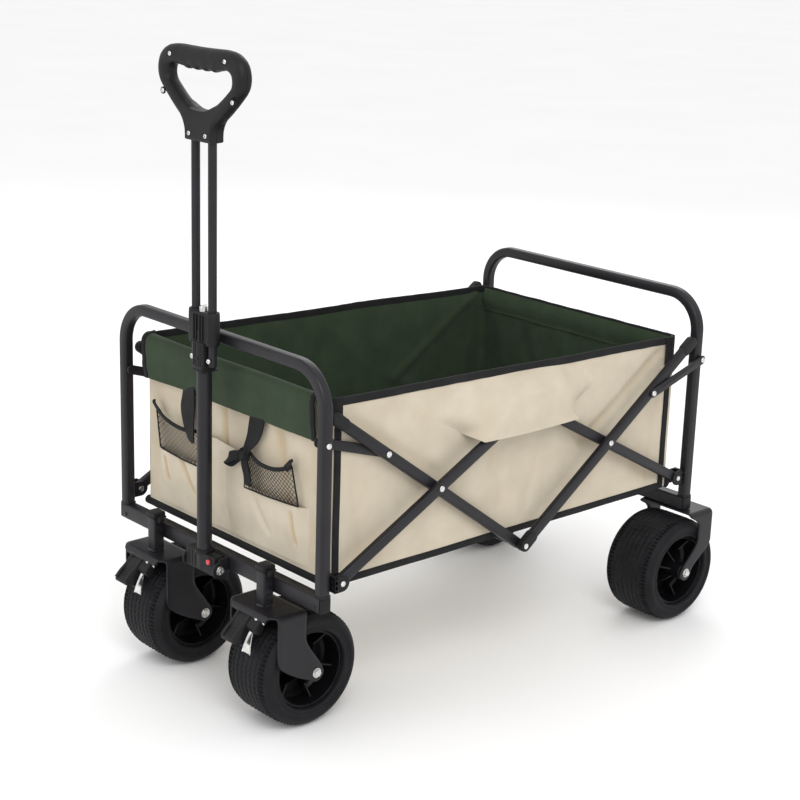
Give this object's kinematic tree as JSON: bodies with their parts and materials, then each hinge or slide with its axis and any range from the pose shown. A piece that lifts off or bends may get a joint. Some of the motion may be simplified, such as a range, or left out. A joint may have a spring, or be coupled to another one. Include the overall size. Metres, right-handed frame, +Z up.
{
  "type": "folding beach cart",
  "caption": "Folding beach cart: cloth basket in a scissor frame on fat wheels, front casters with brakes, and a telescopic pull handle.",
  "frame": {"origin": "on the floor, at the middle of the footprint of the open cart", "axes": "X along the length with the pull handle at -X, Y across along the wheel axles, +Z up"},
  "size_m": [0.962, 0.571, 0.9945],
  "materials": {
    "frame_paint": "satin charcoal powder coat",
    "black_plastic": "moulded, fine grain",
    "tyre_rubber": "matte with ribs",
    "zinc": "bright zinc plate",
    "red_plastic": "glossy",
    "outer_cloth": "beige coated canvas",
    "lining_cloth": "dark green coated canvas"
  },
  "bodies": {
    "rear_frame": {"rear_hoop": "frame_paint", "rear_beam": "frame_paint", "rear_floor_bar": "frame_paint", "rear_fork_left": "frame_paint", "rear_fork_right": "frame_paint", "rear_axle_left": "zinc", "rear_axle_right": "zinc", "rear_pivot_bracket_left": "black_plastic", "rear_pivot_bracket_right": "black_plastic", "basket_floor": "lining_cloth", "basket_side_left": "outer_cloth", "basket_side_right": "outer_cloth", "basket_rear_wall": "lining_cloth"},
    "front_frame": {"front_hoop": "frame_paint", "front_beam": "frame_paint", "front_floor_bar": "frame_paint", "front_pivot_bracket_left": "black_plastic", "front_pivot_bracket_right": "black_plastic", "caster_post_left": "frame_paint", "caster_post_right": "frame_paint", "handle_bracket": "frame_paint", "handle_pivot_bolt": "zinc", "basket_front_wall": "outer_cloth"},
    "rear_riser_right": {"rear_riser_right": "frame_paint"},
    "rear_diagonal_right": {"rear_diagonal_right": "frame_paint"},
    "rear_link_right": {"rear_link_right": "frame_paint"},
    "rear_wheel_right": {"rear_tyre_right": "tyre_rubber", "rear_hub_right": "black_plastic"},
    "front_riser_right": {"front_riser_right": "frame_paint"},
    "front_diagonal_right": {"front_diagonal_right": "frame_paint", "middle_floor_bar": "frame_paint"},
    "front_link_right": {"front_link_right": "frame_paint"},
    "front_wheel_right": {"front_tyre_right": "tyre_rubber", "front_hub_right": "black_plastic"},
    "caster_right": {"caster_fork_right": "frame_paint", "front_axle_right": "zinc"},
    "brake_right": {"brake_pedal_right": "black_plastic"},
    "rear_riser_left": {"rear_riser_left": "frame_paint"},
    "rear_diagonal_left": {"rear_diagonal_left": "frame_paint"},
    "rear_link_left": {"rear_link_left": "frame_paint"},
    "rear_wheel_left": {"rear_tyre_left": "tyre_rubber", "rear_hub_left": "black_plastic"},
    "front_riser_left": {"front_riser_left": "frame_paint"},
    "front_diagonal_left": {"front_diagonal_left": "frame_paint"},
    "front_link_left": {"front_link_left": "frame_paint"},
    "front_wheel_left": {"front_tyre_left": "tyre_rubber", "front_hub_left": "black_plastic"},
    "caster_left": {"caster_fork_left": "frame_paint", "front_axle_left": "zinc"},
    "brake_left": {"brake_pedal_left": "black_plastic"},
    "handle": {"handle_tube": "frame_paint", "handle_base": "black_plastic", "handle_collar": "black_plastic"},
    "handle_top": {"telescopic_rod_left": "frame_paint", "telescopic_rod_right": "frame_paint", "grip_front_half": "black_plastic", "grip_rear_half": "black_plastic"},
    "collar_button": {"collar_button": "zinc"},
    "lock_button": {"lock_button": "red_plastic"}
  },
  "joints": [
    {"name": "fold", "type": "hinge", "parent": "rear_frame", "child": "rear_riser_right", "pos_m": [0.3835, 0.2435, 0.25774], "axis": [0, 1, 0], "range_deg": [0, 48], "deforming": ["basket_floor", "basket_side_left", "basket_side_right"]},
    {"name": "top_middle_right", "type": "hinge", "parent": "rear_riser_right", "child": "front_riser_right", "pos_m": [0.0035, 0.2575, 0.4605], "axis": [0, 1, 0], "range_deg": [-96, 0]},
    {"name": "front_corner", "type": "hinge", "parent": "front_riser_right", "child": "front_frame", "pos_m": [-0.3765, 0.2575, 0.25774], "axis": [0, 1, 0], "range_deg": [0, 48]},
    {"name": "rear_cross_right", "type": "hinge", "parent": "rear_riser_right", "child": "rear_diagonal_right", "pos_m": [0.1911, 0.2575, 0.3604], "axis": [0, 1, 0], "range_deg": [-89.46, 0]},
    {"name": "front_cross_right", "type": "hinge", "parent": "front_riser_right", "child": "front_diagonal_right", "pos_m": [-0.1841, 0.2435, 0.3604], "axis": [0, 1, 0], "range_deg": [0, 89.46]},
    {"name": "rear_link_right", "type": "hinge", "parent": "rear_frame", "child": "rear_link_right", "pos_m": [0.4075, 0.2655, 0.46684], "axis": [0, 1, 0], "range_deg": [0, 83.98]},
    {"name": "front_link_right", "type": "hinge", "parent": "front_frame", "child": "front_link_right", "pos_m": [-0.4005, 0.2355, 0.46684], "axis": [0, 1, 0], "range_deg": [-83.98, 0]},
    {"name": "fold_left", "type": "hinge", "parent": "rear_frame", "child": "rear_riser_left", "pos_m": [0.3835, -0.2435, 0.25774], "axis": [0, 1, 0], "range_deg": [0, 48]},
    {"name": "top_middle_left", "type": "hinge", "parent": "rear_riser_left", "child": "front_riser_left", "pos_m": [0.0035, -0.2575, 0.4605], "axis": [0, 1, 0], "range_deg": [-96, 0]},
    {"name": "rear_cross_left", "type": "hinge", "parent": "rear_riser_left", "child": "rear_diagonal_left", "pos_m": [0.1911, -0.2575, 0.3604], "axis": [0, 1, 0], "range_deg": [-89.46, 0]},
    {"name": "front_cross_left", "type": "hinge", "parent": "front_riser_left", "child": "front_diagonal_left", "pos_m": [-0.1841, -0.2435, 0.3604], "axis": [0, 1, 0], "range_deg": [0, 89.46]},
    {"name": "rear_link_left", "type": "hinge", "parent": "rear_frame", "child": "rear_link_left", "pos_m": [0.4075, -0.2655, 0.46684], "axis": [0, 1, 0], "range_deg": [0, 83.98]},
    {"name": "front_link_left", "type": "hinge", "parent": "front_frame", "child": "front_link_left", "pos_m": [-0.4005, -0.2355, 0.46684], "axis": [0, 1, 0], "range_deg": [-83.98, 0]},
    {"name": "rear_wheel_right", "type": "hinge", "parent": "rear_frame", "child": "rear_wheel_right", "pos_m": [0.3895, 0.2215, 0.0915], "axis": [0, 1, 0], "continuous": true},
    {"name": "caster_right", "type": "hinge", "parent": "front_frame", "child": "caster_right", "pos_m": [-0.4203, 0.1415, 0.196], "axis": [0, 0, 1], "continuous": true},
    {"name": "front_wheel_right", "type": "hinge", "parent": "caster_right", "child": "front_wheel_right", "pos_m": [-0.3675, 0.1415, 0.0915], "axis": [0, 1, 0], "continuous": true},
    {"name": "brake_right", "type": "hinge", "parent": "caster_right", "child": "brake_right", "pos_m": [-0.444, 0.1415, 0.1825], "axis": [0, -1, 0], "range_deg": [0, 12]},
    {"name": "rear_wheel_left", "type": "hinge", "parent": "rear_frame", "child": "rear_wheel_left", "pos_m": [0.3895, -0.2215, 0.0915], "axis": [0, 1, 0], "continuous": true},
    {"name": "caster_left", "type": "hinge", "parent": "front_frame", "child": "caster_left", "pos_m": [-0.4203, -0.1415, 0.196], "axis": [0, 0, 1], "continuous": true},
    {"name": "front_wheel_left", "type": "hinge", "parent": "caster_left", "child": "front_wheel_left", "pos_m": [-0.3675, -0.1415, 0.0915], "axis": [0, 1, 0], "continuous": true},
    {"name": "brake_left", "type": "hinge", "parent": "caster_left", "child": "brake_left", "pos_m": [-0.444, -0.1415, 0.1825], "axis": [0, -1, 0], "range_deg": [0, 12]},
    {"name": "handle_tilt", "type": "hinge", "parent": "front_frame", "child": "handle", "pos_m": [-0.4275, 0, 0.2175], "axis": [0, -1, 0], "range_deg": [0, 90]},
    {"name": "handle_extension", "type": "slide", "parent": "handle", "child": "handle_top", "axis": [0, 0, 1], "range_m": [-0.22, 0]},
    {"name": "collar_button_press", "type": "slide", "parent": "handle", "child": "collar_button", "axis": [0, 0, -1], "range_m": [0, 0.004], "stiffness_N_per_m": 400},
    {"name": "lock_button_press", "type": "slide", "parent": "handle", "child": "lock_button", "axis": [1, 0, 0], "range_m": [0, 0.0025], "stiffness_N_per_m": 400}
  ],
  "couplings": [
    {"joint": "top_middle_right", "follows": "fold", "ratio": -2},
    {"joint": "front_corner", "follows": "fold", "ratio": 1},
    {"joint": "rear_cross_right", "follows": "fold", "ratio": -1.8638},
    {"joint": "front_cross_right", "follows": "fold", "ratio": 1.8638},
    {"joint": "rear_link_right", "follows": "fold", "ratio": 1.7496},
    {"joint": "front_link_right", "follows": "fold", "ratio": -1.7496},
    {"joint": "fold_left", "follows": "fold", "ratio": 1},
    {"joint": "top_middle_left", "follows": "fold", "ratio": -2},
    {"joint": "rear_cross_left", "follows": "fold", "ratio": -1.8638},
    {"joint": "front_cross_left", "follows": "fold", "ratio": 1.8638},
    {"joint": "rear_link_left", "follows": "fold", "ratio": 1.7496},
    {"joint": "front_link_left", "follows": "fold", "ratio": -1.7496}
  ]
}
